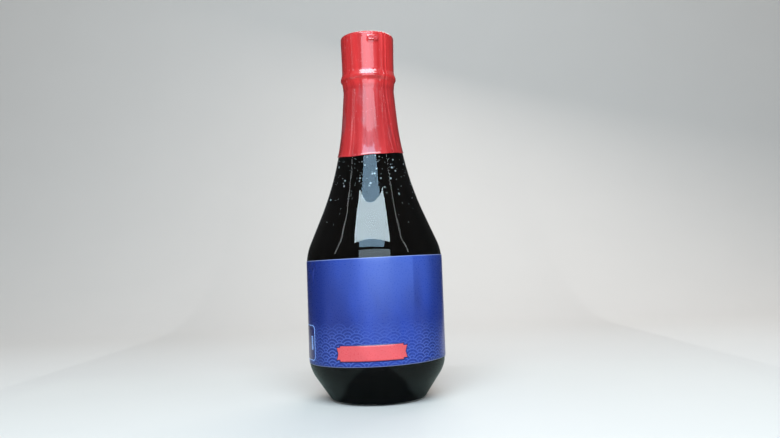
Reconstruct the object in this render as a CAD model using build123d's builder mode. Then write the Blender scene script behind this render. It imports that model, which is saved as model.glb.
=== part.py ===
"""A bottle of soy sauce, filled and sealed.

A clear plastic bottle with a tapered foot, a straight body and a long sloping shoulder
holds the sauce. A paper-thin label wraps the body, a red cap closes the neck, and one
red shrink film covers the cap's side and most of the neck.

Millimetres. The bottle stands on its foot ring at Z = 0, on the Z axis, and the front
of its label faces -Y.
"""

import os
from math import asin, cos, degrees, radians, sin, sqrt, tan

from build123d import *

os.makedirs("parts", exist_ok=True)

# Bottle, outer shape. A lean is the wall's angle from the axis, positive where the
# bottle narrows upwards.
body_radius = 33.0
body_wall = 0.7
taper_lean = -34.0
taper_corner_z = 15.8
shoulder_lean = 23.3
shoulder_corner_z = 70.4
neck_lean = 4.5
neck_corner_z = 111.2
neck_top_z = 152.6

heel_bend = 3.0
taper_bend = 18.0
shoulder_bend = 25.0
neck_bend = 150.0

# The underside is pushed up as a shallow dome inside the foot ring.
dome_height = 4.5
dome_radius = 40.7

# The mouth, hidden inside the cap.
mouth_radius = 11.4
mouth_wall = 0.8
mouth_top_z = 172.0

# Sauce
sauce_level_z = 146.0

# Cap: from its foot up, a flange, a waist and a wider crown, with a lift tab at the front.
cap_bottom_z = 153.0
cap_top_z = 177.0
cap_flange_radius = 13.5
cap_flange_z = 155.6
cap_flange_half_height = 0.5
cap_foot_radius = 12.75
cap_foot_drop = 1.9
cap_waist_radius = 12.7
cap_waist_rise = 3.0
cap_waist_height = 6.0
cap_crown_radius = 12.95
cap_crown_height = 3.0
cap_bends = [0.5, 0.4, 0.4, 2.0, 20.0, 4.0]
cap_edge_round = 1.0
cap_bore_gap = 0.05
cap_foot_width = 1.0
tab_width = 5.0
tab_height = 2.2
tab_corner = 0.9
tab_edge_round = 0.5
tab_stand_out = 0.8
tab_root_radius = 11.8
tab_z = 173.2
tab_bearing = -76.0

# Shrink film over the cap and the neck, cut off along a tilted line.
film_thickness = 0.2
film_lip_width = 2.6
film_foot_z = 118.3
film_foot_radius = 16.0
film_foot_rise_right = 0.7
film_foot_rise_back = 2.1
film_bridge_z = 149.6
film_bridge_radius = 12.5

# Label, wrapped a little askew.
label_thickness = 0.12
label_bottom_z = 19.1
label_top_z = 67.6
label_skew = 1.0


def inset_corner(radius, z, lean_below, lean_above, inset):
    """Move a wall's corner towards the axis, square to the walls on both sides of it."""
    middle = radians((lean_below + lean_above) / 2)
    reach = inset / cos(radians(lean_above - lean_below) / 2)
    return (radius - reach * cos(middle), z - reach * sin(middle))


def bottle_profile(inset):
    """Half section of the bottle from its axis outwards, drawn in by inset all round."""
    foot_radius = body_radius + taper_corner_z * tan(radians(taper_lean))
    shoulder_length = neck_corner_z - shoulder_corner_z
    neck_radius = body_radius - shoulder_length * tan(radians(shoulder_lean))
    neck_top_radius = neck_radius - (neck_top_z - neck_corner_z) * tan(radians(neck_lean))
    dome_bend = dome_radius + inset
    dome_edge = sqrt(2 * dome_bend * dome_height - dome_height**2)
    dome_centre_z = dome_height + inset - dome_bend
    dome_sweep = degrees(asin(dome_edge / dome_bend))
    corners = [
        (dome_edge, inset),
        inset_corner(foot_radius, 0, -90, taper_lean, inset),
        inset_corner(body_radius, taper_corner_z, taper_lean, 0, inset),
        inset_corner(body_radius, shoulder_corner_z, 0, shoulder_lean, inset),
        inset_corner(neck_radius, neck_corner_z, shoulder_lean, neck_lean, inset),
        inset_corner(neck_top_radius, neck_top_z, neck_lean, 90, inset),
        (0, neck_top_z - inset),
    ]
    bends = [
        heel_bend - inset,
        taper_bend - inset,
        shoulder_bend - inset,
        neck_bend + inset,
        0,
    ]
    with BuildSketch(Plane.XZ) as profile:
        with BuildLine():
            CenterArc((0, dome_centre_z), dome_bend, 90 - dome_sweep, dome_sweep)
            FilletPolyline(*corners, radius=bends)
            Line((0, neck_top_z - inset), (0, dome_height + inset))
        make_face()
    return profile.sketch


def cap_profile(grow, bottom_z, bottom_radius):
    """Half section of the cap from its axis outwards, grow larger all round."""
    flange = cap_flange_radius + grow
    waist = cap_waist_radius + grow
    crown = cap_crown_radius + grow
    top_z = cap_top_z + grow
    waist_z = cap_flange_z + cap_waist_rise
    corners = [
        (bottom_radius, bottom_z),
        (cap_foot_radius + grow, cap_flange_z - cap_foot_drop),
        (flange, cap_flange_z - cap_flange_half_height),
        (flange, cap_flange_z + cap_flange_half_height),
        (waist, waist_z),
        (waist, waist_z + cap_waist_height),
        (crown, cap_top_z - cap_crown_height),
        (crown, top_z),
        (0, top_z),
    ]
    bends = [*cap_bends, cap_edge_round + grow]
    with BuildSketch(Plane.XZ) as profile:
        with BuildLine():
            FilletPolyline(*corners, radius=bends)
            Polyline((0, top_z), (0, bottom_z), (bottom_radius, bottom_z))
        make_face()
    return profile.sketch


def lift_tab(grow):
    """The cap's lift tab, a rounded block grow larger all round, rooted inside the cap."""
    bearing = radians(tab_bearing)
    outward = Vector(cos(bearing), sin(bearing), 0)
    root = outward * tab_root_radius + Vector(0, 0, tab_z)
    along = Vector(-sin(bearing), cos(bearing), 0)
    with BuildPart() as tab:
        with BuildSketch(Plane(origin=root, x_dir=along, z_dir=outward)):
            RectangleRounded(tab_width + 2 * grow, tab_height + 2 * grow, tab_corner + grow)
        extrude(amount=cap_crown_radius - tab_root_radius + tab_stand_out + grow)
        fillet(faces().sort_by(Axis(root, outward))[-1].edges(), radius=tab_edge_round)
    return tab.part


# Bottle: the outer shape less the space inside, with the mouth on top.
outer_profile = bottle_profile(0)
inner_profile = bottle_profile(body_wall)
inner_top_z = neck_top_z - body_wall
with BuildPart() as bottle:
    revolve(outer_profile, axis=Axis.Z)
    with BuildSketch(Plane.XY.offset(inner_top_z)):
        Circle(mouth_radius)
    extrude(amount=mouth_top_z - inner_top_z)
    revolve(inner_profile, axis=Axis.Z, mode=Mode.SUBTRACT)
    with BuildSketch(Plane.XY.offset(mouth_top_z)):
        Circle(mouth_radius - mouth_wall)
    extrude(amount=inner_top_z - body_wall - mouth_top_z, mode=Mode.SUBTRACT)
bottle.part.label = "bottle"
export_step(bottle.part, "parts/bottle.step")

# Sauce: the space inside the bottle, up to the level.
with BuildPart() as soy_sauce:
    revolve(inner_profile, axis=Axis.Z)
    split(bisect_by=Plane.XY.offset(sauce_level_z), keep=Keep.BOTTOM)
soy_sauce.part.label = "soy_sauce"
export_step(soy_sauce.part, "parts/soy_sauce.step")

# Cap: a drum with a flange and a lift tab, bored to sit over the mouth.
cap_tab = lift_tab(0)
with BuildPart() as cap:
    revolve(cap_profile(0, cap_bottom_z, mouth_radius + cap_foot_width), axis=Axis.Z)
    add(cap_tab)
    with BuildSketch(Plane.XY.offset(cap_bottom_z)):
        Circle(mouth_radius + cap_bore_gap)
    extrude(amount=mouth_top_z + cap_bore_gap - cap_bottom_z, mode=Mode.SUBTRACT)
cap.part.label = "cap"
export_step(cap.part, "parts/cap.step")

# Shrink film: a skin round the cap and the neck. Its foot is cut along a tilted plane,
# and its lip leaves the middle of the cap's top bare.
film_tab = lift_tab(film_thickness)
film_top_z = cap_top_z + film_thickness
film_foot_slope_x = film_foot_rise_right / film_foot_radius
film_foot_slope_y = film_foot_rise_back / film_foot_radius
film_foot = Plane(
    origin=(0, 0, film_foot_z),
    z_dir=(-film_foot_slope_x, -film_foot_slope_y, 1),
)
with BuildPart() as neck_film:
    revolve(bottle_profile(-film_thickness), axis=Axis.Z)
    split(bisect_by=film_foot, keep=Keep.TOP)
    revolve(cap_profile(film_thickness, film_bridge_z, film_bridge_radius), axis=Axis.Z)
    add(film_tab)
    with BuildSketch(Plane.XY.offset(film_top_z)):
        Circle(cap_crown_radius - film_lip_width)
    extrude(amount=-film_thickness, mode=Mode.SUBTRACT)
    with BuildSketch(Plane.XY.offset(neck_top_z)):
        Circle(mouth_radius + cap_foot_width / 2)
    extrude(amount=cap_top_z - neck_top_z, mode=Mode.SUBTRACT)
    add(cap.part, mode=Mode.SUBTRACT)
    revolve(outer_profile, axis=Axis.Z, mode=Mode.SUBTRACT)
neck_film.part.label = "neck_film"
export_step(neck_film.part, "parts/neck_film.step")

# Label: a skin round the body between two planes that lean together.
label_up = Vector(-sin(radians(label_skew)), 0, cos(radians(label_skew)))
with BuildPart() as label:
    revolve(bottle_profile(-label_thickness), axis=Axis.Z)
    split(bisect_by=Plane(origin=(0, 0, label_bottom_z), z_dir=label_up), keep=Keep.TOP)
    split(bisect_by=Plane(origin=(0, 0, label_top_z), z_dir=label_up), keep=Keep.BOTTOM)
    revolve(outer_profile, axis=Axis.Z, mode=Mode.SUBTRACT)
label.part.label = "label"
export_step(label.part, "parts/label.step")
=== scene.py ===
"""Looks of a sealed bottle of soy sauce, laid out as a Blender add-on and run as a script.

Lengths are metres. The bottle stands on Z = 0 round the Z axis and its label faces -Y.
Round pieces are grids of points: rows follow a profile of (radius, height) pairs, columns
go round the axis by their bearing, which is 0 at the front and grows to the right.
"""

import math

import bmesh
import bpy
import numpy as np
from bpy.props import FloatProperty, FloatVectorProperty, IntProperty, PointerProperty
from mathutils import Matrix, Vector


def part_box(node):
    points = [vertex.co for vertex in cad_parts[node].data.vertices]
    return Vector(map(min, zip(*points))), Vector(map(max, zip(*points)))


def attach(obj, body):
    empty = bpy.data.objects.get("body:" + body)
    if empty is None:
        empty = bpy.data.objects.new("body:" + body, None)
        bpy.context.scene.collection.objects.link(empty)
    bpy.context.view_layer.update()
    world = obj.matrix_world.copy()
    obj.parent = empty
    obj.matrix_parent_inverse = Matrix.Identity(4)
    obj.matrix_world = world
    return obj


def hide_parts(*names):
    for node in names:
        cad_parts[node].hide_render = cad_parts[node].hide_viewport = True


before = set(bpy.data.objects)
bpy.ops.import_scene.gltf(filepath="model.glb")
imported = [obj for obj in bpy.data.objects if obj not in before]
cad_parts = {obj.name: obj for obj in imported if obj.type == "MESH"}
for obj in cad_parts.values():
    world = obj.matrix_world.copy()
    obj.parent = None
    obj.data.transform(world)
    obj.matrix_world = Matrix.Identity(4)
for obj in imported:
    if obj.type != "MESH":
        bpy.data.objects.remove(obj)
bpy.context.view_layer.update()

BODY = "root"
MM = 0.001

bl_info = {
    "name": "Soy sauce bottle",
    "version": (1, 0, 0),
    "blender": (4, 5, 0),
    "location": "3D Viewport > Sidebar > Sauce bottle",
    "description": "Builds a sealed, filled bottle of soy sauce, its film, label and stage",
    "category": "Add Mesh",
}

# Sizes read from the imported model

BOTTLE_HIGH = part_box("bottle")[1]
SAUCE_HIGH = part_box("soy_sauce")[1]
FILM_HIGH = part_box("neck_film")[1]
CAP_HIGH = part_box("cap")[1]
LABEL_LOW, LABEL_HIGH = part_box("label")

BODY_RADIUS = BOTTLE_HIGH.x
BODY_WALL = BOTTLE_HIGH.x - SAUCE_HIGH.x
SAUCE_LEVEL = SAUCE_HIGH.z
FILM_TOP = FILM_HIGH.z
FILM_THICKNESS = FILM_HIGH.z - CAP_HIGH.z
LABEL_SKEW = math.radians(1.0)
LABEL_RISE = BODY_RADIUS * math.tan(LABEL_SKEW)
LABEL_BOTTOM = LABEL_LOW.z + LABEL_RISE
LABEL_HEIGHT = LABEL_HIGH.z - LABEL_LOW.z - 2 * LABEL_RISE

# The bottle's outline: corners as (radius, height), the lean of each wall from the axis,
# and the bend that rounds each corner.
TAPER_LEAN = math.radians(-34.0)
TAPER_CORNER = 15.8 * MM
SHOULDER_LEAN = math.radians(23.3)
SHOULDER_CORNER = 70.4 * MM
NECK_LEAN = math.radians(4.5)
NECK_CORNER = 111.2 * MM
NECK_TOP = 152.6 * MM
HEEL_BEND = 3.0 * MM
TAPER_BEND = 18.0 * MM
SHOULDER_BEND = 25.0 * MM
NECK_BEND = 150.0 * MM
DOME_HEIGHT = 4.5 * MM
DOME_BEND = 40.7 * MM
MOUTH_RADIUS = 11.4 * MM

# The film over the cap.
FLANGE_RADIUS = CAP_HIGH.x + FILM_THICKNESS
FLANGE_HEIGHT = 155.6 * MM
WAIST_RADIUS = 12.9 * MM
CROWN_RADIUS = 13.15 * MM
LIP_RADIUS = 10.35 * MM
TAB_BEARING = math.radians(14.0)
TAB_HEIGHT = 173.2 * MM
# Nearer the axis than this, the film lies on the cap's top.
SIDE_RADIUS = 12.2 * MM
# The film begins to cling to the neck at the first height, and clings fully at the second.
CLING_START = 151 * MM
CLING_FULL = 147 * MM
# The film's overlap widens and drifts from this height down, over this length.
OVERLAP_TOP = 152 * MM
OVERLAP_LENGTH = 34 * MM

# Folds down the neck's film: bearing and drift in degrees, width and lift in millimetres.
FOLDS = (
    (-50, -4, 0.3, 0.07),
    (-41, 3, 0.25, 0.05),
    (12, 5, 0.7, 0.05),
    (24, 6, 0.4, 0.05),
    (75, 8, 0.3, 0.08),
    (118, -6, 0.35, 0.09),
    (165, 5, 0.4, 0.08),
    (-120, 6, 0.4, 0.09),
)
# Creases of the label: place across and up, lean in degrees, reach and width in millimetres.
CREASES = (
    (-36, 46.0, 20, 2.6, 0.5),
    (-33.5, 44.0, 60, 3.0, 0.45),
    (-38, 43.2, -35, 2.4, 0.4),
    (-31.0, 46.2, 100, 2.0, 0.4),
    (27.0, 1.6, 15, 3.5, 0.6),
    (-34.5, 41.0, 85, 3.4, 0.35),
)


# Profiles


def inset_corner(radius, height, lean_below, lean_above, inset):
    """A wall's corner moved towards the axis by inset, square to both of its walls."""
    middle = (lean_below + lean_above) / 2
    reach = inset / math.cos((lean_above - lean_below) / 2)
    return (radius - reach * math.cos(middle), height - reach * math.sin(middle))


def bottle_corners(inset):
    """Corners and bends of the bottle's wall from the foot ring to the neck's top."""
    foot_radius = BODY_RADIUS + TAPER_CORNER * math.tan(TAPER_LEAN)
    shoulder_length = NECK_CORNER - SHOULDER_CORNER
    neck_radius = BODY_RADIUS - shoulder_length * math.tan(SHOULDER_LEAN)
    neck_top_radius = neck_radius - (NECK_TOP - NECK_CORNER) * math.tan(NECK_LEAN)
    quarter = math.pi / 2
    corners = [
        inset_corner(foot_radius, 0, -quarter, TAPER_LEAN, inset),
        inset_corner(BODY_RADIUS, TAPER_CORNER, TAPER_LEAN, 0, inset),
        inset_corner(BODY_RADIUS, SHOULDER_CORNER, 0, SHOULDER_LEAN, inset),
        inset_corner(neck_radius, NECK_CORNER, SHOULDER_LEAN, NECK_LEAN, inset),
        inset_corner(neck_top_radius, NECK_TOP, NECK_LEAN, quarter, inset),
    ]
    bends = [HEEL_BEND - inset, TAPER_BEND - inset, SHOULDER_BEND - inset, NECK_BEND + inset, 0.0]
    return corners, bends


def dome_path(inset, step):
    """The pushed-up underside, an arc from the axis out to the foot ring."""
    bend = DOME_BEND + inset
    edge = math.sqrt(2 * bend * DOME_HEIGHT - DOME_HEIGHT**2)
    sweep = math.asin(edge / bend)
    angle = np.linspace(0, sweep, max(2, int(bend * sweep / step)))
    centre_height = DOME_HEIGHT + inset - bend
    return np.stack([bend * np.sin(angle), centre_height + bend * np.cos(angle)], axis=1)


def rounded_path(corners, bends, step):
    """A path through corners, with each inner corner rounded by its bend.

    Where the path turns by an angle t, an arc touches both straights at a distance of
    bend * tan(t / 2) from the corner. Arcs and straights are cut into lengths near step.
    """
    corners = np.array(corners, float)
    pieces = [corners[:1]]
    for before, corner, after, bend in zip(corners, corners[1:], corners[2:], bends):
        back = (before - corner) / np.linalg.norm(before - corner)
        ahead = (after - corner) / np.linalg.norm(after - corner)
        turn = math.pi - math.acos(np.clip(back @ ahead, -1, 1))
        start = corner + back * bend * math.tan(turn / 2)
        if bend > 0 and turn > 1e-6:
            inward = (back + ahead) / np.linalg.norm(back + ahead)
            centre = corner + inward * bend / math.cos(turn / 2)
            angle = np.linspace(0, turn, max(4, int(bend * turn / step)))[:, None]
            arc = centre + np.cos(angle) * (start - centre) - np.sin(angle) * back * bend
        else:
            arc = corner[None]
        pieces.append(straight(pieces[-1][-1], start, step))
        pieces.append(arc)
    pieces.append(straight(pieces[-1][-1], corners[-1], step))
    path = np.concatenate(pieces)
    moved = np.linalg.norm(np.diff(path, axis=0), axis=1) > 1e-7
    return path[np.concatenate([[True], moved])]


def straight(start, end, step):
    """Points along a straight from start to end, without its first."""
    count = max(1, int(round(np.linalg.norm(end - start) / step)))
    return start + (end - start) * np.linspace(0, 1, count + 1)[1:, None]


def path_length(path):
    """Length along the path up to each of its points."""
    return np.concatenate([[0], np.cumsum(np.linalg.norm(np.diff(path, axis=0), axis=1))])


def path_normals(path):
    """Unit normals to the right of the path's direction, which is outwards on a wall."""
    along = np.gradient(path, path_length(path), axis=0)
    normal = np.stack([along[:, 1], -along[:, 0]], axis=1)
    return normal / np.linalg.norm(normal, axis=1, keepdims=True)


# Grids and meshes


def bearings(count, dense=(), dense_width=0.03, dense_count=10):
    """Bearings once round the axis, with extra columns close to each dense bearing."""
    around = [np.linspace(-math.pi, math.pi, count, endpoint=False)]
    for middle in dense:
        around.append(middle + np.linspace(-dense_width, dense_width, dense_count))
    around = np.sort((np.concatenate(around) + math.pi) % (2 * math.pi) - math.pi)
    return around[np.concatenate([[True], np.diff(around) > 1e-4])]


def spread(*coordinates):
    """Points from arrays of their coordinates, all spread over one grid."""
    return np.stack(np.broadcast_arrays(*coordinates), axis=-1)


def turned(radius, height, bearing):
    """Points at a radius and height, on a bearing from the front: x = r sin, y = -r cos."""
    return spread(radius * np.sin(bearing), -radius * np.cos(bearing), height)


def smooth_step(value, low, high):
    """0 below low, 1 above high, and 3t^2 - 2t^3 between them."""
    share = np.clip((value - low) / (high - low), 0, 1)
    return share * share * (3 - 2 * share)


def hump(value, middle, width):
    """A bell curve, exp(-((value - middle) / width)^2)."""
    return np.exp(-(((value - middle) / width) ** 2))


def grid_faces(rows, columns, wrap):
    """Corner numbers of the quads of a grid, closed round its columns if wrap."""
    index = np.arange(rows * columns).reshape(rows, columns)
    if wrap:
        index = np.concatenate([index, index[:, :1]], axis=1)
    return np.stack(
        [index[:-1, :-1], index[:-1, 1:], index[1:, 1:], index[1:, :-1]], axis=-1
    ).reshape(-1, 4)


def make_object(name, points, faces, material, smooth=True):
    """A mesh object of points and faces with one material."""
    mesh = bpy.data.meshes.new(name)
    mesh.from_pydata(points.reshape(-1, 3).tolist(), [], faces)
    mesh.polygons.foreach_set("use_smooth", np.full(len(mesh.polygons), smooth))
    mesh.materials.append(material)
    made = bpy.data.objects.new(name, mesh)
    bpy.context.scene.collection.objects.link(made)
    return made


def make_piece(name, points, faces, material, replaces=(), maps=None):
    """A smooth object of points and faces, given its place in the frame."""
    piece = make_object(name, points, faces, material)
    mesh = piece.data
    if maps is not None:
        layer = mesh.uv_layers.new(name="Flat")
        corner = np.zeros(len(mesh.loops), np.int32)
        mesh.loops.foreach_get("vertex_index", corner)
        layer.data.foreach_set("uv", maps[corner].astype(np.float32).ravel())
    mesh.validate()
    mesh.update()
    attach(piece, BODY)
    if replaces:
        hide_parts(*replaces)
    return piece


def lathe(name, points, material, replaces=(), poles=(False, False)):
    """A closed piece from a grid whose rows are rings; a pole's ring shrinks to one point."""
    rows, columns = points.shape[:2]
    faces = grid_faces(rows, columns, wrap=True)
    for is_pole, row in zip(poles, (0, rows - 1)):
        if is_pole:
            ring = np.arange(row * columns, (row + 1) * columns)
            faces[np.isin(faces, ring)] = ring[0]
    used, faces = np.unique(faces, return_inverse=True)
    faces = faces.reshape(-1, 4)
    quads = faces[(faces[:, 0] != faces[:, 1]) & (faces[:, 2] != faces[:, 3])]
    fan_start = faces[faces[:, 0] == faces[:, 1]][:, 1:]
    fan_end = faces[faces[:, 2] == faces[:, 3]][:, :3]
    every_face = quads.tolist() + fan_start.tolist() + fan_end.tolist()
    return make_piece(name, points.reshape(-1, 3)[used], every_face, material, replaces)


# Materials


class Finish:
    """A new material, its shader and short ways to add nodes to it."""

    def __init__(self, name, **constants):
        self.material = bpy.data.materials.new(name)
        self.material.use_nodes = True
        self.nodes = self.material.node_tree.nodes
        self.links = self.material.node_tree.links
        self.shader = self.nodes["Principled BSDF"]
        for socket, value in constants.items():
            self.shader.inputs[socket.replace("_", " ")].default_value = value
        self.place = self.nodes.new("ShaderNodeTexCoord").outputs["Object"]

    def node(self, kind, inputs=(), **settings):
        """A node with its settings, and its inputs linked or set."""
        made = self.nodes.new(kind)
        for key, value in settings.items():
            setattr(made, key, value)
        for key, value in dict(inputs).items():
            self.feed(made.inputs[key], value)
        return made

    def feed(self, socket, value):
        """Link a socket to another node's output, or set its constant."""
        if isinstance(value, bpy.types.NodeSocket):
            self.links.new(value, socket)
        else:
            socket.default_value = value

    def math(self, operation, first, second=0.0, third=0.0):
        """One step of arithmetic."""
        made = self.nodes.new("ShaderNodeMath")
        made.operation = operation
        for socket, value in zip(made.inputs, (first, second, third)):
            self.feed(socket, value)
        return made.outputs[0]

    def times(self, *values):
        """The product of some values."""
        product = values[0]
        for value in values[1:]:
            product = self.math("MULTIPLY", product, value)
        return product

    def noise(self, scale, detail=3.0, stretch=(1, 1, 1), place=None):
        """Noise from 0 to 1 with features of about 1 / scale metres, drawn out by stretch."""
        mapping = {"Vector": place or self.place, "Scale": stretch}
        place = self.node("ShaderNodeMapping", mapping).outputs["Vector"]
        inputs = {"Vector": place, "Scale": scale, "Detail": detail}
        return self.node("ShaderNodeTexNoise", inputs).outputs[0]

    def ramp(self, value, low, high, at_low=0.0, at_high=1.0):
        """value carried from low..high to at_low..at_high, smoothly and held at the ends."""
        inputs = {"Value": value, "From Min": low, "From Max": high}
        inputs.update({"To Min": at_low, "To Max": at_high})
        made = self.node("ShaderNodeMapRange", inputs, interpolation_type="SMOOTHSTEP")
        return made.outputs[0]

    def mix(self, share, first, second):
        """A colour between first and second."""
        made = self.node("ShaderNodeMix", data_type="RGBA")
        self.feed(made.inputs[0], share)
        self.feed(made.inputs[6], first)
        self.feed(made.inputs[7], second)
        return made.outputs[2]

    def bump(self, height, strength, distance, below=None):
        """A normal that follows height, on top of another bump if there is one."""
        inputs = {"Strength": strength, "Distance": distance, "Height": height}
        if below is not None:
            inputs["Normal"] = below
        return self.node("ShaderNodeBump", inputs).outputs[0]

    def parts(self, place=None):
        """The X, Y and Z of the piece's own coordinates."""
        made = self.node("ShaderNodeSeparateXYZ", {"Vector": place or self.place})
        return made.outputs[0], made.outputs[1], made.outputs[2]

    def use(self, **inputs):
        """Feed the shader's sockets."""
        for socket, value in inputs.items():
            self.feed(self.shader.inputs[socket.replace("_", " ")], value)


def solid_colour(colour, brightness=1.0):
    """A colour property as a shader colour, made brighter or darker."""
    return (*(brightness * channel for channel in colour), 1.0)


def clear_plastic(settings):
    """Clear blow-moulded plastic: faint waves in the wall and a few rubbed places."""
    finish = Finish(
        "Clear bottle plastic",
        Base_Color=solid_colour(settings.plastic_colour),
        Transmission_Weight=1.0,
        IOR=settings.plastic_ior,
    )
    waves = finish.noise(75.0, 2.0, stretch=(1, 1, 0.4))
    rubbed = finish.ramp(finish.noise(130.0, 4.0, stretch=(1, 1, 0.3)), 0.5, 0.8, 0.015, 0.06)
    normal = finish.bump(waves, 0.3, 0.7 * MM)
    finish.use(Roughness=rubbed, Normal=normal)
    return finish.material


def dark_sauce(settings):
    """Near-black brewed sauce with slow warm variation."""
    finish = Finish("Soy sauce", IOR=1.36, Roughness=0.1, Specular_IOR_Level=0.06)
    drift = finish.noise(60.0, 3.0, stretch=(1, 1, 0.5))
    dark = solid_colour(settings.sauce_colour)
    colour = finish.mix(drift, dark, solid_colour(settings.sauce_colour, brightness=2.6))
    finish.use(Base_Color=colour)
    return finish.material


def bubble_skin():
    """The bright skin of a small air bubble against the wall."""
    finish = Finish("Air bubble", Base_Color=(0.62, 0.74, 0.80, 1), IOR=1.5, Coat_Weight=0.6)
    shade = finish.noise(900.0, 2.0)
    finish.use(Roughness=finish.ramp(shade, 0.3, 0.7, 0.05, 0.25))
    return finish.material


def red_film(settings):
    """Glossy red shrink film: drawn streaks, fine pleats, and duller wet patches on the neck."""
    finish = Finish("Red shrink film", Coat_Weight=0.8, Coat_Roughness=0.05, IOR=1.45)
    height = finish.parts()[2]
    on_neck = finish.ramp(height, 152.5 * MM, 150.0 * MM)
    streaks = finish.noise(260.0, 4.0, stretch=(1, 1, 0.05))
    patches = finish.ramp(finish.noise(150.0, 3.0, stretch=(1, 1, 0.28)), 0.56, 0.7)
    speckle = finish.ramp(finish.noise(700.0, 3.0), 0.62, 0.74)
    shade = solid_colour(settings.film_shade)
    red = solid_colour(settings.film_colour)
    colour = finish.mix(finish.ramp(streaks, 0.3, 0.7), shade, red)
    wet = solid_colour(settings.film_wet_colour)
    colour = finish.mix(finish.times(patches, on_neck, 0.55), colour, wet)
    colour = finish.mix(finish.times(on_neck, 0.35), colour, solid_colour(settings.film_neck_colour))
    colour = finish.mix(finish.times(speckle, 0.3), colour, solid_colour(settings.film_fleck_colour))
    rough = finish.ramp(streaks, 0.2, 0.8, 0.24, 0.36)
    normal = finish.bump(streaks, 0.25, 0.12 * MM)
    normal = finish.bump(finish.noise(900.0, 3.0), 0.12, 0.04 * MM, normal)
    finish.use(Base_Color=colour, Roughness=rough, Normal=normal)
    return finish.material


def cap_plastic(settings):
    """Moulded red plastic of the cap, seen inside the film's lip."""
    finish = Finish("Red cap plastic", IOR=1.48)
    grain = finish.noise(1500.0, 3.0)
    cloud = finish.noise(120.0, 3.0)
    red = solid_colour(settings.cap_colour)
    colour = finish.mix(cloud, red, solid_colour(settings.cap_colour, brightness=0.8))
    normal = finish.bump(grain, 0.15, 0.04 * MM)
    finish.use(Base_Color=colour, Roughness=finish.ramp(grain, 0.3, 0.7, 0.28, 0.4), Normal=normal)
    return finish.material


def wave_rows(finish, across, up, settings):
    """Rows of overlapping wave scales, each row in front of the one above it.

    A scale is a disc of radius R with three rings. Discs in a row are 2R apart, and rows are
    R / 2 apart and staggered by R, so the lower row covers the feet of the upper one.
    """
    radius = settings.wave_radius
    rings = 0.0
    for row in reversed(range(settings.wave_rows)):
        shift = radius * (row % 2)
        cell = finish.math("WRAP", finish.math("ADD", across, shift), radius, -radius)
        rise = finish.math("SUBTRACT", up, row * radius / 2 - radius / 3)
        square = finish.math("ADD", finish.times(cell, cell), finish.times(rise, rise))
        distance = finish.math("SQRT", square)
        inside = finish.math("LESS_THAN", distance, radius)
        ring = finish.math("WRAP", distance, radius / 3, 0.0)
        line = finish.ramp(ring, radius * 0.2, radius * 0.25)
        outside = finish.math("SUBTRACT", 1.0, inside)
        rings = finish.math("ADD", finish.times(line, inside), finish.times(rings, outside))
    return rings


def label_print(settings):
    """Printed film label: deep blue that fades, painted shade at its sides, a painted highlight up its
    middle, faint wave scales low down, a pale cut edge.
    """
    finish = Finish("Printed label", IOR=1.45, Coat_Weight=0.15, Coat_Roughness=0.2)
    flat = finish.node("ShaderNodeUVMap", uv_map="Flat").outputs[0]
    across, up, _ = finish.parts(flat)
    cloud = finish.noise(55.0, 4.0, place=flat, stretch=(1, 0.45, 1))
    fibre = finish.noise(1600.0, 2.0, place=flat)
    deep = solid_colour(settings.label_deep_colour)
    blue = solid_colour(settings.label_colour)
    light = solid_colour(settings.label_light_colour)
    colour = finish.mix(finish.ramp(cloud, 0.3, 0.7), blue, deep)
    upper = finish.ramp(up, 0.3 * LABEL_HEIGHT, LABEL_HEIGHT)
    colour = finish.mix(finish.times(upper, 0.35), colour, light)
    # Painted shade: the blue darkens towards the label's left and right sides.
    left_painted_shade = finish.ramp(across, -33 * MM, -6 * MM, 0.95, 0.0)
    right_painted_shade = finish.ramp(across, 26 * MM, 34 * MM, 0.0, 0.5)
    colour = finish.mix(finish.math("MAXIMUM", left_painted_shade, right_painted_shade), colour, deep)
    # Painted highlight: a lighter band up the middle of the label, stronger towards its top.
    painted_highlight_start = finish.ramp(across, -9 * MM, 2 * MM)
    painted_highlight_end = finish.ramp(across, 19.5 * MM, 18.5 * MM)
    colour = finish.mix(finish.times(painted_highlight_start, painted_highlight_end, upper, 0.5), colour, light)
    rings = wave_rows(finish, across, up, settings)
    low = finish.ramp(up, 0.12 * LABEL_HEIGHT, 0.52 * LABEL_HEIGHT, 1.0, 0.0)
    low = finish.times(low, finish.ramp(cloud, 0.25, 0.6, 0.35, 1.0))
    colour = finish.mix(finish.times(low, 0.30), colour, deep)
    colour = finish.mix(finish.times(rings, low, 0.75), colour, light)
    edge_low = finish.ramp(up, 0.15 * MM, 0.35 * MM, 1.0, 0.0)
    edge_high = finish.ramp(up, LABEL_HEIGHT - 0.35 * MM, LABEL_HEIGHT - 0.15 * MM)
    edge = finish.math("MAXIMUM", edge_low, edge_high)
    colour = finish.mix(finish.times(edge, 0.45), colour, solid_colour(settings.label_edge_colour))
    rough = finish.ramp(fibre, 0.3, 0.7, 0.26, 0.36)
    normal = finish.bump(cloud, 0.2, 0.2 * MM)
    normal = finish.bump(fibre, 0.08, 0.02 * MM, normal)
    finish.use(Base_Color=colour, Roughness=rough, Normal=normal)
    return finish.material


def ink(name, colour, brightness=1.0):
    """A field of printing ink, clouded between its colour and a shade of that."""
    finish = Finish(name, IOR=1.48, Coat_Weight=0.35, Coat_Roughness=0.22)
    flat = finish.node("ShaderNodeUVMap", uv_map="Flat").outputs[0]
    cloud = finish.ramp(finish.noise(90.0, 4.0, place=flat), 0.3, 0.7)
    fibre = finish.noise(1600.0, 2.0, place=flat)
    mixed = finish.mix(cloud, solid_colour(colour), solid_colour(colour, brightness))
    normal = finish.bump(fibre, 0.08, 0.02 * MM)
    rough = finish.ramp(fibre, 0.3, 0.7, 0.26, 0.36)
    finish.use(Base_Color=mixed, Roughness=rough, Normal=normal)
    return finish.material


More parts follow.
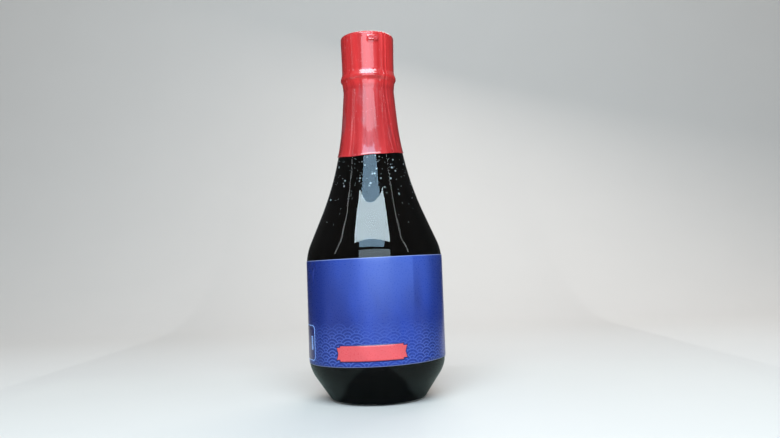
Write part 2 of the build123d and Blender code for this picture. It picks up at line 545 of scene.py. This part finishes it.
def pale_ground(settings):
    """Plain pale floor and backdrop with a barely visible grain."""
    finish = Finish("Pale ground", Roughness=0.6)
    grain = finish.noise(14.0, 5.0)
    pale = solid_colour(settings.ground_colour)
    colour = finish.mix(grain, pale, solid_colour(settings.ground_colour, brightness=0.97))
    finish.use(Base_Color=colour)
    return finish.material


# Settings


def length(name, description, millimetres, **limits):
    """A length property, its default given in millimetres."""
    return FloatProperty(
        name=name, description=description, default=millimetres * MM, unit="LENGTH", **limits
    )


def colour(name, description, red, green, blue):
    """A colour property, linear."""
    return FloatVectorProperty(
        name=name,
        description=description,
        subtype="COLOR",
        size=3,
        min=0.0,
        max=1.0,
        default=(red, green, blue),
    )


class SauceBottleSettings(bpy.types.PropertyGroup):
    """Sizes and colours of the bottle and the sauce in it."""

    columns: IntProperty(name="Columns", description="Points round the bottle", default=168, min=24)
    seam_height: length("Seam height", "How far the two mould seams stand out", 0.06)
    sauce_reach: length("Sauce reach", "How far the sauce reaches into the wall", 0.3)
    bubble_count: IntProperty(name="Bubbles", description="Air bubbles on the wall", default=150)
    plastic_colour: colour("Plastic", "Tint of the clear plastic", 0.95, 0.985, 0.98)
    plastic_ior: FloatProperty(name="Plastic IOR", description="Refraction of plastic", default=1.45)
    sauce_colour: colour("Sauce", "Colour of the sauce", 0.0022, 0.0016, 0.0013)


class SauceFilmSettings(bpy.types.PropertyGroup):
    """Sizes and colours of the shrink film and the cap."""

    columns: IntProperty(name="Columns", description="Points round the film", default=300, min=24)
    row_step: length("Row step", "Distance between rows of points", 0.26)
    skin: length("Skin", "Thickness of the film where it is free", 0.1)
    foot_height: length("Foot height", "Mean height of the cut edge", 118.3)
    foot_rise_right: length("Rise to the right", "How much higher the cut edge is at the right", 0.7)
    foot_rise_back: length("Rise to the back", "How much higher the cut edge is at the back", 2.1)
    fold_height: length("Fold height", "How far the film's overlap stands out", 0.17)
    film_colour: colour("Film", "Colour of the film", 0.66, 0.030, 0.030)
    film_shade: colour("Film shade", "Darker streaks of the film", 0.46, 0.020, 0.020)
    film_wet_colour: colour("Film, wet", "Film where it clings to the neck", 0.33, 0.10, 0.11)
    film_neck_colour: colour("Film, neck", "Shade that the dark neck lends the film", 0.27, 0.018, 0.022)
    film_fleck_colour: colour("Film, flecks", "Pale flecks of the film", 0.78, 0.20, 0.22)
    cap_colour: colour("Cap", "Colour of the cap", 0.50, 0.022, 0.025)


class SauceLabelSettings(bpy.types.PropertyGroup):
    """Sizes and colours of the label and its print."""

    columns: IntProperty(name="Columns", description="Points round the label", default=420, min=24)
    rows: IntProperty(name="Rows", description="Points up the label", default=100, min=8)
    overlap: length("Overlap", "Length of the overlap at the back", 6.0)
    crease_height: length("Crease height", "Height of the creases near the corner", 0.3)
    wave_radius: length("Wave radius", "Radius of one wave scale", 4.2)
    wave_rows: IntProperty(name="Wave rows", description="Rows of wave scales", default=9, min=1)
    ribbon_width: length("Ribbon width", "Length of the ribbon round the label", 33.0)
    ribbon_height: length("Ribbon height", "Height of the ribbon", 6.8)
    # The deep blue also paints shade at the label's sides, and the light blue a painted highlight up its
    # middle.
    label_colour: colour("Blue", "Main colour of the label", 0.016, 0.046, 0.31)
    label_deep_colour: colour("Deep blue", "Darker parts of the label", 0.010, 0.024, 0.17)
    label_light_colour: colour("Light blue", "Lighter parts of the label", 0.075, 0.13, 0.46)
    label_edge_colour: colour("Cut edge", "The label's cut edges", 0.45, 0.5, 0.75)
    ribbon_colour: colour("Ribbon", "Colour of the ribbon", 0.76, 0.085, 0.095)
    outline_colour: colour("Outline", "Outline of the ribbon", 0.02, 0.018, 0.10)
    panel_colour: colour("Panel", "Colour of the side panel", 0.012, 0.016, 0.12)
    panel_line_colour: colour("Panel line", "Lines of the side panel", 0.24, 0.40, 0.80)


class SauceStageSettings(bpy.types.PropertyGroup):
    """The ground, the light and the camera."""

    ground_colour: colour("Ground", "Colour of the floor and backdrop", 0.74, 0.67, 0.62)
    background_colour: colour("Background", "Colour past the backdrop", 0.66, 0.67, 0.66)
    fill: FloatProperty(name="Fill", description="Strength of the even light", default=0.3, min=0.0)
    window: FloatProperty(name="Window", description="Brightness of the high soft box", default=16.0)
    band: FloatProperty(name="Band", description="Brightness of the middle soft box", default=7.5)
    front: FloatProperty(name="Front", description="Brightness of the low soft box", default=4.0)
    back: FloatProperty(name="Back", description="Brightness of the soft box behind", default=4.0)
    focal_length: length("Focal length", "Focal length of the camera", 33.58)


# Bottle, sauce and bubbles


class SAUCE_OT_bottle(bpy.types.Operator):
    """Build the clear bottle wall"""

    bl_idname = "sauce.bottle"
    bl_label = "Bottle"

    def execute(self, context):
        settings = context.scene.sauce_bottle
        step = 1.0 * MM
        corners, bends = bottle_corners(0.0)
        dome = dome_path(0.0, step)
        outer_corners = [dome[-1], *corners, (MOUTH_RADIUS, corners[-1][1])]
        bore_radius = MOUTH_RADIUS - BODY_WALL
        inner_corners, inner_bends = bottle_corners(BODY_WALL)
        inner_dome = dome_path(BODY_WALL, step)
        inside = [inner_dome[-1], *inner_corners, (bore_radius, inner_corners[-1][1])]
        mouth = [(MOUTH_RADIUS, BOTTLE_HIGH.z), (bore_radius, BOTTLE_HIGH.z)]
        outer = np.concatenate([dome, rounded_path(outer_corners, bends, step)[1:]])
        inner = np.concatenate([inner_dome, rounded_path(inside, inner_bends, 2 * step)[1:]])
        path = np.concatenate([outer, mouth, inner[::-1]])
        around = bearings(settings.columns, dense=(-math.pi / 2, math.pi / 2))
        radius = np.repeat(path[:, :1], len(around), axis=1)
        height = np.repeat(path[:, 1:], len(around), axis=1)
        is_outer = np.arange(len(path))[:, None] < len(outer)
        on_wall = smooth_step(height, 3 * MM, 8 * MM) * smooth_step(-height, -150 * MM, -140 * MM)
        seam = hump(np.abs(around)[None], math.pi / 2, 0.007) * settings.seam_height
        radius = radius + seam * on_wall * is_outer
        points = turned(radius, height, around[None])
        finish = clear_plastic(settings)
        lathe("bottle_wall", points, finish, ("bottle",), poles=(True, True))
        return {"FINISHED"}


class SAUCE_OT_sauce(bpy.types.Operator):
    """Build the sauce, which reaches just into the bottle's wall, and its bubbles"""

    bl_idname = "sauce.fill"
    bl_label = "Sauce and bubbles"

    def execute(self, context):
        settings = context.scene.sauce_bottle
        self.pour(settings)
        self.add_bubbles(settings)
        return {"FINISHED"}

    def pour(self, settings):
        """The bottle's inside drawn out by the reach, cut off flat at the level."""
        inset = BODY_WALL - settings.sauce_reach
        step = 1.2 * MM
        corners, bends = bottle_corners(inset)
        dome = dome_path(inset, step)
        wall = rounded_path([dome[-1], *corners], bends[:-1], step)
        wall = wall[wall[:, 1] < SAUCE_LEVEL]
        level_radius = wall[-1, 0]
        top = [(level_radius, SAUCE_LEVEL), (level_radius * 0.5, SAUCE_LEVEL), (0, SAUCE_LEVEL)]
        path = np.concatenate([dome, wall[1:], top])
        around = bearings(settings.columns)
        points = turned(path[:, :1], path[:, 1:], around[None])
        finish = dark_sauce(settings)
        lathe("sauce_fill", points, finish, ("soy_sauce",), poles=(True, True))

    def add_bubbles(self, settings):
        """Flattened balls against the wall, most of them high on the shoulder."""
        random = np.random.default_rng(7)
        count = settings.bubble_count
        low = 80 * MM
        high = 116 * MM
        height = low + (high - low) * random.random(count) ** 0.45
        bearing = random.vonmises(0.0, 1.6, count)
        size = (0.13 + 0.45 * random.random(count) ** 5) * MM
        corners, bends = bottle_corners(BODY_WALL - settings.sauce_reach)
        wall = rounded_path(corners, bends[1:-1], 0.5 * MM)
        radius = np.interp(height, wall[:, 1], wall[:, 0])
        ball, quads, triangles = self.ball(8, 5)
        outward = turned(1.0, 0.0, bearing)
        sideways = np.stack([np.cos(bearing), np.sin(bearing), np.zeros(count)], axis=-1)
        upward = np.array([0, 0, 1.0])
        centre = turned(radius, height, bearing)
        points = (
            centre[:, None]
            + size[:, None, None] * ball[None, :, :1] * sideways[:, None]
            + size[:, None, None] * ball[None, :, 2:] * upward
            + 0.18 * MM * ball[None, :, 1:2] * outward[:, None]
        )
        offsets = np.arange(count)[:, None, None] * len(ball)
        faces = (quads + offsets).reshape(-1, 4).tolist()
        faces += (triangles + offsets).reshape(-1, 3).tolist()
        make_piece("wall_bubbles", points.reshape(-1, 3), faces, bubble_skin())

    def ball(self, columns, rows):
        """A ball of unit radius: rings of quads, and a fan of triangles at each pole."""
        turn = np.linspace(0, -2 * math.pi, columns, endpoint=False)[None]
        lift = np.linspace(-math.pi / 2, math.pi / 2, rows + 2)[1:-1, None]
        ring = spread(np.cos(lift) * np.cos(turn), np.cos(lift) * np.sin(turn), np.sin(lift))
        points = np.concatenate([ring.reshape(-1, 3), [(0, 0, -1), (0, 0, 1)]])
        first = np.arange(columns)
        after = np.roll(first, -1)
        last = (rows - 1) * columns
        bottom = np.stack([after, first, np.full(columns, rows * columns)], axis=-1)
        top = np.stack([first + last, after + last, np.full(columns, rows * columns + 1)], axis=-1)
        return points, grid_faces(rows, columns, wrap=True), np.concatenate([bottom, top])


# Shrink film and cap


class SAUCE_OT_film(bpy.types.Operator):
    """Build the shrink film over the cap and the neck"""

    bl_idname = "sauce.film"
    bl_label = "Shrink film"

    def execute(self, context):
        settings = context.scene.sauce_film
        path = self.outer_path()
        along = path_length(path)
        normals = path_normals(path)
        around = bearings(settings.columns)
        foot = (
            settings.foot_height
            + settings.foot_rise_right * np.sin(around)
            - settings.foot_rise_back * np.cos(around)
            + 0.16 * MM * np.sin(3 * around + 0.6)
            + 0.10 * MM * np.sin(7 * around + 2.0)
        )
        start = np.interp(foot, path[:, 1], along)
        lip_wave = 0.25 * MM * np.sin(2 * around + 1.0) + 0.12 * MM * np.sin(9 * around)
        end = along[-1] - 0.3 * MM + lip_wave
        rows = int((along[-1] - start.min()) / settings.row_step)
        share = np.linspace(0, 1, rows)[:, None]
        travel = start + (end - start) * share
        outer_lift = self.lift(settings, path, along, travel, start, around)
        outer = self.place(path, along, normals, travel, outer_lift, around)
        inner_rows = np.linspace(1, 0, 30)[:, None]
        inner_travel = start + (end - start) * inner_rows
        inner_lift = self.lift(settings, path, along, inner_travel, start, around) - settings.skin
        inner = self.place(path, along, normals, inner_travel, inner_lift, around)
        rim_travel = travel[:1] - 0.04 * MM
        rim_lift = outer_lift[:1] - settings.skin / 2
        rim = self.place(path, along, normals, rim_travel, rim_lift, around)
        points = np.concatenate([rim, outer, inner, rim])
        film = lathe("shrink_film", points, red_film(settings), replaces=("neck_film",))
        merge_seams(film)
        return {"FINISHED"}

    def outer_path(self):
        """Up the neck, over the flange and the cap's side, and in over its top."""
        corners, bends = bottle_corners(-FILM_THICKNESS)
        shoulder, neck = corners[2], corners[3]
        route = [
            shoulder,
            neck,
            (12.5 * MM, 149.6 * MM),
            (12.95 * MM, 153.7 * MM),
            (FLANGE_RADIUS, FLANGE_HEIGHT - 0.5 * MM),
            (FLANGE_RADIUS, FLANGE_HEIGHT + 0.5 * MM),
            (WAIST_RADIUS + 0.4 * MM, FLANGE_HEIGHT + 1.7 * MM),
            (WAIST_RADIUS, FLANGE_HEIGHT + 3.0 * MM),
            (WAIST_RADIUS, FLANGE_HEIGHT + 9.0 * MM),
            (CROWN_RADIUS, FILM_TOP - 3.2 * MM),
            (CROWN_RADIUS, FILM_TOP),
            (LIP_RADIUS, FILM_TOP),
        ]
        cap_bends = [bend * MM for bend in (3, 1.2, 0.5, 0.5, 3, 2, 20, 4, 1.2)]
        return rounded_path(route, [bends[3], *cap_bends], 0.2 * MM)

    def place(self, path, along, normals, travel, lift, around):
        """Points at a distance along the path, lifted along its normal."""
        radius = np.interp(travel, along, path[:, 0])
        height = np.interp(travel, along, path[:, 1])
        out = np.interp(travel, along, normals[:, 0])
        up = np.interp(travel, along, normals[:, 1])
        height = np.minimum(height + lift * up, FILM_TOP)
        return turned(radius + lift * out, height, around[None])

    def lift(self, settings, path, along, travel, start, around):
        """How far the film stands off its path, the sum of all its features."""
        height = np.interp(travel, along, path[:, 1])
        radius = np.interp(travel, along, path[:, 0])
        bearing = around[None] + 0 * height
        side = radius > SIDE_RADIUS
        on_neck = smooth_step(-height, -CLING_START, -CLING_FULL)
        descent = np.clip((OVERLAP_TOP - height) / OVERLAP_LENGTH, 0, 1)
        lift = self.tab(height, radius, bearing)
        lift += self.overlap(settings.fold_height, radius, bearing, descent) * side
        lift += self.folds(radius, bearing, descent) * on_neck
        lift += self.dimple_and_dot(height, radius, bearing)
        lift += self.flare(travel - start, bearing)
        lift += self.pleats(height, bearing) * side * (0.4 + 0.6 * on_neck)
        return lift

    def tab(self, height, radius, bearing):
        """The film stretched over the lift tab: a shelf below that fades above."""
        across = (bearing - TAB_BEARING) * radius
        shelf = smooth_step(height, TAB_HEIGHT - 1.35 * MM, TAB_HEIGHT - 0.75 * MM)
        shelf *= np.clip((TAB_HEIGHT + 2.0 * MM - height) / (2.6 * MM), 0, 1)
        droop = 1 - smooth_step(across, 0.2 * MM, 3.6 * MM) * 0.75
        width = smooth_step(-np.abs(across), -3.2 * MM, -2.0 * MM)
        return 0.95 * MM * shelf * width * droop

    def overlap(self, fold, radius, bearing, descent):
        """The film's overlap, a strip that runs down aslant with a ridge at each edge."""
        middle = np.radians(40.0) + np.radians(10.0) * descent**1.5
        across = (bearing - middle) * radius
        half = (1.1 + 0.5 * descent) * MM
        band = smooth_step(across, -half - 0.15 * MM, -half + 0.1 * MM)
        band *= smooth_step(-across, -half - 0.15 * MM, -half + 0.1 * MM)
        left_ridge = hump(across, -half, 0.24 * MM)
        right_ridge = 0.9 * hump(across, half, 0.22 * MM)
        groove = 0.9 * hump(across, 0.25 * MM, 0.5 * MM)
        return fold * (0.6 * band + left_ridge + right_ridge - groove)

    def folds(self, radius, bearing, descent):
        """Narrow ridges that run down the neck and drift aside as they go."""
        lift = np.zeros_like(radius)
        for degrees, drift, width, height in FOLDS:
            middle = math.radians(degrees) + math.radians(drift) * descent
            lift += height * MM * hump((bearing - middle) * radius, 0.0, width * MM)
        return lift

    def dimple_and_dot(self, height, radius, bearing):
        """A dimple under the flange in line with the tab, and one raised dot up by the crown."""
        across = (bearing - TAB_BEARING) * radius
        dimple = smooth_step(-np.abs(across), -3.4 * MM, -2.7 * MM) * hump(height, 153.2 * MM, 1.0 * MM)
        dot_across = (bearing + math.radians(9)) * radius
        dot = hump(dot_across, 0, 0.35 * MM) * hump(height, 174.9 * MM, 0.4 * MM)
        return 0.16 * MM * dot - 0.22 * MM * dimple

    def flare(self, from_foot, bearing):
        """The cut edge stands off the neck, most at the left, and ends in a small bead."""
        leftness = 0.35 + 0.65 * smooth_step(-np.sin(bearing), 0.2, 0.95)
        flare = 0.30 * MM * np.exp(-from_foot / (1.4 * MM)) * leftness
        return flare + 0.10 * MM * hump(from_foot, 0.25 * MM, 0.3 * MM)

    def pleats(self, height, bearing):
        """Fine pleats: waves round the axis, each with its own phase and slant."""
        random = np.random.default_rng(3)
        lift = np.zeros_like(height)
        for count in (11, 17, 23, 31, 43):
            phase = random.uniform(0, 2 * math.pi)
            slant = random.uniform(-60, 60)
            lift += 0.011 * MM * np.sin(count * bearing + phase + slant * height)
        return lift


def merge_seams(piece):
    """Merge the first and last ring, which lie in the same place."""
    mesh = bmesh.new()
    mesh.from_mesh(piece.data)
    bmesh.ops.remove_doubles(mesh, verts=mesh.verts, dist=1e-7)
    mesh.to_mesh(piece.data)
    mesh.free()


class SAUCE_OT_cap(bpy.types.Operator):
    """Give the cap its moulded plastic finish"""

    bl_idname = "sauce.cap"
    bl_label = "Cap"

    def execute(self, context):
        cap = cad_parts["cap"]
        cap.data.materials.clear()
        cap.data.materials.append(cap_plastic(context.scene.sauce_film))
        return {"FINISHED"}


# Label


class SAUCE_OT_label(bpy.types.Operator):
    """Build the wrapped label and the fields printed on it"""

    bl_idname = "sauce.label"
    bl_label = "Label and print"

    def execute(self, context):
        settings = context.scene.sauce_label
        self.wrap(settings)
        self.print_ribbon(settings)
        self.print_panel(settings)
        return {"FINISHED"}

    def wrap(self, settings):
        """A strip once round the body, lifted over its own start at the back.

        Its outer and inner faces are one grid that goes up the outside and down the inside.
        """
        half = math.pi * BODY_RADIUS + settings.overlap / 2
        across = np.linspace(-half, half, settings.columns)[None]
        up = LABEL_HEIGHT * np.linspace(0, 1, settings.rows)[:, None]
        material = label_print(settings)
        lay_on_label("printed_label", spread(across, up), 0.06 * MM, material, settings, ("label",))

    def print_ribbon(self, settings):
        """A ribbon with stepped, notched ends, over the same shape grown by its outline."""
        middle = (-2.0 * MM, 6.1 * MM)
        outline = ink("Dark outline ink", settings.outline_colour)
        red = ink("Red ribbon ink", settings.ribbon_colour, brightness=0.86)
        fields = [
            ("ribbon_outline", 0.45 * MM, 0.075 * MM, outline),
            ("label_ribbon", 0.0, 0.09 * MM, red),
        ]
        for name, grow, lift, material in fields:
            lay_on_label(name, ribbon_shape(settings, grow) + middle, lift, material, settings)

    def print_panel(self, settings):
        """A tall rounded panel at the left with a thin line inside its edge and a plain bar."""
        middle = (-41.5 * MM, 10.2 * MM)
        dark = ink("Dark panel ink", settings.panel_colour)
        pale = ink("Pale line ink", settings.panel_line_colour)
        # Name; width, height and corner in millimetres; shift to the right; lift; ink.
        fields = [
            ("panel_line", (15.0, 16.6, 2.4), 0.0, 0.07 * MM, pale),
            ("panel_field", (14.0, 15.6, 1.9), 0.0, 0.085 * MM, dark),
            ("panel_bar", (2.0, 6.5, 0.4), 4.2 * MM, 0.10 * MM, pale),
        ]
        for name, sizes, shift, lift, material in fields:
            shape = rounded_rectangle(*(size * MM for size in sizes)) + middle + (shift, 0.0)
            lay_on_label(name, shape, lift, material, settings)


def lay_on_label(name, shape, lift, material, settings, replaces=()):
    """A closed sheet from a grid of (across, up) points laid on the label's surface."""
    across, up = shape[..., 0], shape[..., 1]
    outer = label_surface(across, up, lift, settings)
    inner = label_surface(across, up, lift - 0.05 * MM, settings)
    points, faces = slab(outer, inner)
    maps = np.concatenate([shape, shape[::-1]]).reshape(-1, 2)
    make_piece(name, points, faces, material, replaces, maps)


def slab(outer, inner):
    """A closed slab from two grids: up the outer one, down the inner one, and both ends."""
    rows, columns = outer.shape[:2]
    index = np.arange(2 * rows * columns).reshape(2 * rows, columns)
    foot = np.stack([index[-1, :-1], index[-1, 1:], index[0, 1:], index[0, :-1]], axis=-1)
    faces = [grid_faces(2 * rows, columns, wrap=False), foot]
    for column, order in ((0, 1), (-1, -1)):
        near, far = index[:rows, column], index[:rows - 1 : -1, column]
        end = np.stack([near[:-1], near[1:], far[1:], far[:-1]], axis=-1)
        faces.append(end[:, ::order])
    points = np.concatenate([outer, inner[::-1]]).reshape(-1, 3)
    return points, np.concatenate(faces).tolist()


def label_surface(across, up, lift, settings):
    """Points of the label at (across, up) from the middle of its lower edge, lift proud.

    The label is a strip leaned by its skew and wrapped on the body's own outline: the
    bearing is across / radius, the height is the skewed plane's, and the end that laps over
    stands a little further out.
    """
    bearing = across / BODY_RADIUS
    height = LABEL_BOTTOM + up + LABEL_RISE * np.sin(bearing)
    corners, bends = bottle_corners(0.0)
    wall = rounded_path(corners, bends[1:-1], 0.5 * MM)
    radius = np.interp(height, wall[:, 1], wall[:, 0]) + lift
    end = math.pi * BODY_RADIUS
    radius = radius + 0.06 * MM * smooth_step(across, end - 6 * MM, end - 2 * MM)
    crease = np.zeros(np.broadcast(across, up).shape)
    for middle, level, lean, reach, width in CREASES:
        turn = math.radians(lean)
        x = across - middle * MM
        y = up - level * MM
        far = x * math.cos(turn) + y * math.sin(turn)
        off = -x * math.sin(turn) + y * math.cos(turn) + far * far / (18 * MM)
        crease = crease + hump(far, 0, reach * MM) * hump(off, 0, width * 1.5 * MM)
    return turned(radius + settings.crease_height * crease, height, bearing)


def ribbon_shape(settings, grow):
    """A ribbon as a grid: a full-height middle, lower ends, and a notch into each end."""
    half_width = settings.ribbon_width / 2
    half_height = settings.ribbon_height / 2 + grow
    step_in = 1.9 * MM
    end_half = half_height - 0.75 * MM
    edge = half_width - step_in
    inner = np.linspace(-edge - grow, edge + grow, 60)
    left = np.linspace(-half_width - grow, -edge - grow - 0.05 * MM, 8)
    right = -left[::-1]
    rows = np.linspace(-1, 1, 15)[:, None]
    notch = 0.9 * MM * (1 - np.abs(rows)) ** 0.8
    span = half_width - edge
    share_left = (left - left[-1]) / -span
    share_right = (right - right[0]) / span
    parts = [
        spread(left + notch * share_left, rows * end_half),
        spread(inner, rows * half_height),
        spread(right - notch * share_right, rows * end_half),
    ]
    return np.concatenate(parts, axis=1)


def rounded_rectangle(width, height, corner):
    """A rectangle with round corners as a grid whose rows shorten along quarter circles."""
    rise = corner * (1 - np.cos(np.linspace(0, math.pi / 2, 7)))
    straight_part = np.linspace(-height / 2 + corner, height / 2 - corner, 8)[1:-1]
    rows = np.concatenate([rise - height / 2, straight_part, height / 2 - rise[::-1]])[:, None]
    depth = np.maximum(np.abs(rows) - (height / 2 - corner), 0)
    cut = corner - np.sqrt(np.maximum(corner**2 - depth**2, 0))
    columns = np.linspace(-1, 1, 24)[None]
    return spread(columns * (width / 2 - cut), rows)


# Stage


CARD_SIDE = 0.22
CARD_FRONT = -0.02
CARD_BACK = 0.8
CARD_HEIGHT = 0.9
DRUM_RADIUS = 1.4
DRUM_HEIGHT = 2.5
BACKDROP = 0.85


def upright(side):
    """Corners of a card that stands at X = side, from beside the bottle to the backdrop."""
    return spread(side, [[CARD_FRONT, CARD_BACK]], [[0.0], [CARD_HEIGHT]])


class SAUCE_OT_stage(bpy.types.Operator):
    """Build the pale ground, the soft light and the camera"""

    bl_idname = "sauce.stage"
    bl_label = "Stage"

    def execute(self, context):
        settings = context.scene.sauce_stage
        self.lay_ground(settings)
        self.hang_lamps(settings)
        self.light_world(settings)
        self.stand_cards()
        self.set_camera(context, settings)
        view = context.scene.view_settings
        view.view_transform = "Standard"
        return {"FINISHED"}

    def lay_ground(self, settings):
        """A floor that sweeps up into a backdrop along a quarter circle."""
        route = [(-2.5, 0.0), (BACKDROP, 0.0), (BACKDROP, 2.0)]
        profile = rounded_path(route, [0.5], 0.03)
        across = np.linspace(-3.0, 3.0, 12)
        points = spread(across[None], profile[:, :1], profile[:, 1:])
        faces = grid_faces(len(profile), len(across), wrap=False).tolist()
        ground = make_object("ground", points, faces, pale_ground(settings))

    def hang_lamps(self, settings):
        """Soft boxes that face a point on the axis: three in front, one behind, a strip a side.

        Each has a bearing and a rise in degrees, a distance, a width, a height, a radiance
        and a tint. Its power is pi * radiance * area.
        """
        aim = Vector((0, 0, 0.1))
        soft_boxes = [
            ("window_box", -2, 51.8, 0.75, 0.74, 0.155, settings.window, (0.74, 0.91, 1.0)),
            ("band_box", -3, 39.0, 0.80, 0.56, 0.20, settings.band, (0.46, 0.74, 1.0)),
            ("front_box", 2, 14.0, 0.90, 0.84, 0.42, settings.front, (0.70, 0.88, 1.0)),
            ("back_box", 160, 42.0, 0.80, 0.60, 0.30, settings.back, (1.0, 0.98, 0.96)),
            ("left_strip", -68, 32, 0.8, 0.03, 0.5, 3.0, (0.9, 0.96, 1.0)),
            ("right_strip", 61, 32, 0.8, 0.03, 0.5, 3.0, (0.9, 0.96, 1.0)),
        ]
        for name, bearing, rise, distance, width, height, radiance, tint in soft_boxes:
            lamp = bpy.data.lights.new(name, "AREA")
            lamp.shape = "RECTANGLE"
            lamp.size = width
            lamp.size_y = height
            lamp.energy = radiance * math.pi * width * height
            lamp.color = tint
            turn, lift = math.radians(bearing), math.radians(rise)
            outward = Vector(turned(math.cos(lift), math.sin(lift), turn))
            facing = outward.to_track_quat("Z", "Y").to_matrix().to_4x4()
            holder = bpy.data.objects.new(name, lamp)
            holder.matrix_world = Matrix.Translation(aim + outward * distance) @ facing
            bpy.context.scene.collection.objects.link(holder)

    def light_world(self, settings):
        """A dim even fill that looks pale to camera, glossy and transmission rays."""
        world = bpy.data.worlds.new("Even light")
        world.use_nodes = True
        nodes, links = world.node_tree.nodes, world.node_tree.links
        background = nodes["Background"]
        background.inputs["Strength"].default_value = 1.0
        ray = nodes.new("ShaderNodeLightPath")
        shown = solid_colour((0.93, 0.97, 1.0), settings.fill)
        for output in ("Is Camera Ray", "Is Glossy Ray", "Is Transmission Ray"):
            mix = nodes.new("ShaderNodeMix")
            mix.data_type = "RGBA"
            if isinstance(shown, tuple):
                mix.inputs[6].default_value = shown
            else:
                links.new(shown, mix.inputs[6])
            mix.inputs[7].default_value = solid_colour(settings.background_colour)
            links.new(ray.outputs[output], mix.inputs[0])
            shown = mix.outputs[2]
        links.new(shown, background.inputs["Color"])
        bpy.context.scene.world = world

    def stand_cards(self):
        """Dark cards that only reflections see: at each side, before the foot, and in front.

        The one in front is a half drum round the axis, x = r sin a and y = -r cos a.
        """
        dark = Finish("Dark card", Base_Color=(0.02, 0.02, 0.02, 1), Roughness=0.9)
        foot = Finish("Foot card", Roughness=0.9)
        away = foot.math("ABSOLUTE", foot.parts()[0])
        shade = foot.ramp(away, 17 * MM, 21 * MM)
        foot.use(Base_Color=foot.mix(shade, (0.012, 0.022, 0.024, 1), (0.20, 0.23, 0.20, 1)))
        bend = np.radians(np.linspace(-100, 100, 24))[None]
        drum = turned(DRUM_RADIUS, np.array([[0.0], [DRUM_HEIGHT]]), bend)
        floor_card = spread([[-0.2, 0.2]], [[-0.3], [0.1]], 0.001)
        cards = [
            ("card_left", upright(-CARD_SIDE), dark),
            ("card_right", upright(CARD_SIDE), dark),
            ("card_foot", floor_card, foot),
            ("card_front", drum, dark),
        ]
        for name, grid, finish in cards:
            faces = grid_faces(*grid.shape[:2], wrap=False).tolist()
            card = make_object(name, grid, faces, finish.material, smooth=False)
            card.visible_camera = False
            card.visible_diffuse = False
            card.visible_transmission = False
            card.visible_shadow = False

    def set_camera(self, context, settings):
        """Level with the label's top, looking slightly up and rolled a little."""
        rise, roll = math.radians(3.48), math.radians(2.02)
        distance = 358.3 * MM
        side_step = -8.4 * MM
        aim = Vector((0, 0, 86.7 * MM))
        forward = Vector((0, math.cos(rise), math.sin(rise)))
        level_up = Vector((0, -math.sin(rise), math.cos(rise)))
        level_right = Vector((1, 0, 0))
        up = math.cos(roll) * level_up + math.sin(roll) * level_right
        right = math.cos(roll) * level_right - math.sin(roll) * level_up
        place = aim - forward * distance - right * side_step
        turn = Matrix((right, up, -forward)).transposed().to_4x4()
        data = bpy.data.cameras.new("camera")
        data.sensor_width = 36.0
        data.lens = settings.focal_length / MM
        data.clip_start = 0.01
        camera = bpy.data.objects.new("camera", data)
        camera.matrix_world = Matrix.Translation(place) @ turn
        context.scene.collection.objects.link(camera)
        context.scene.camera = camera


# Panel and registration


OPERATORS = (
    SAUCE_OT_bottle,
    SAUCE_OT_sauce,
    SAUCE_OT_cap,
    SAUCE_OT_film,
    SAUCE_OT_label,
    SAUCE_OT_stage,
)


class SAUCE_PT_panel(bpy.types.Panel):
    """Buttons that build each group of pieces"""

    bl_idname = "SAUCE_PT_panel"
    bl_label = "Sauce bottle"
    bl_space_type = "VIEW_3D"
    bl_region_type = "UI"
    bl_category = "Sauce bottle"

    def draw(self, context):
        for operator in OPERATORS:
            self.layout.operator(operator.bl_idname)


SETTINGS = {
    "sauce_bottle": SauceBottleSettings,
    "sauce_film": SauceFilmSettings,
    "sauce_label": SauceLabelSettings,
    "sauce_stage": SauceStageSettings,
}


def register():
    """Register the settings, the operators and the panel."""
    for name, group in SETTINGS.items():
        bpy.utils.register_class(group)
        setattr(bpy.types.Scene, name, PointerProperty(type=group))
    for operator in (*OPERATORS, SAUCE_PT_panel):
        bpy.utils.register_class(operator)


def unregister():
    """Take back what register did, in the opposite order."""
    for operator in reversed((*OPERATORS, SAUCE_PT_panel)):
        bpy.utils.unregister_class(operator)
    for name, group in reversed(SETTINGS.items()):
        delattr(bpy.types.Scene, name)
        bpy.utils.unregister_class(group)


def main():
    """Build every piece."""
    register()
    bpy.ops.sauce.bottle()
    bpy.ops.sauce.fill()
    bpy.ops.sauce.cap()
    bpy.ops.sauce.film()
    bpy.ops.sauce.label()
    bpy.ops.sauce.stage()


if __name__ == "__main__":
    main()
